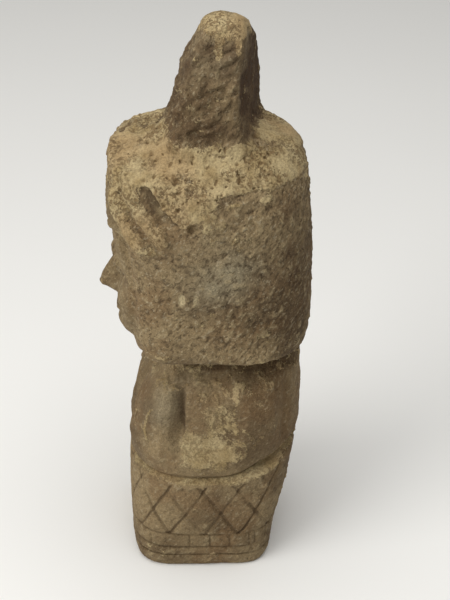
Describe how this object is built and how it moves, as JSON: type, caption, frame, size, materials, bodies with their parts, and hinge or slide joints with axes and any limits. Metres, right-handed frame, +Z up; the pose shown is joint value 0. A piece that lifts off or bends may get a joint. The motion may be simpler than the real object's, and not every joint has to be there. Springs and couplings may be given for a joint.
{
  "type": "carved stone figure stele",
  "caption": "Small block-like stone idol with a tall topknot, a large head, hands raised to the chest and a lattice-cut base.",
  "frame": {"origin": "centre of the flat underside, where the figure stands", "axes": "+Z up, the face looks along -Y, the figure's left side is +X"},
  "size_m": [0.118, 0.1387, 0.4],
  "materials": {
    "stone": "dusty weathered olive-brown stone, pitted on the head, worn smooth on the body"
  },
  "bodies": {
    "root": {"figure": "stone"}
  },
  "joints": []
}
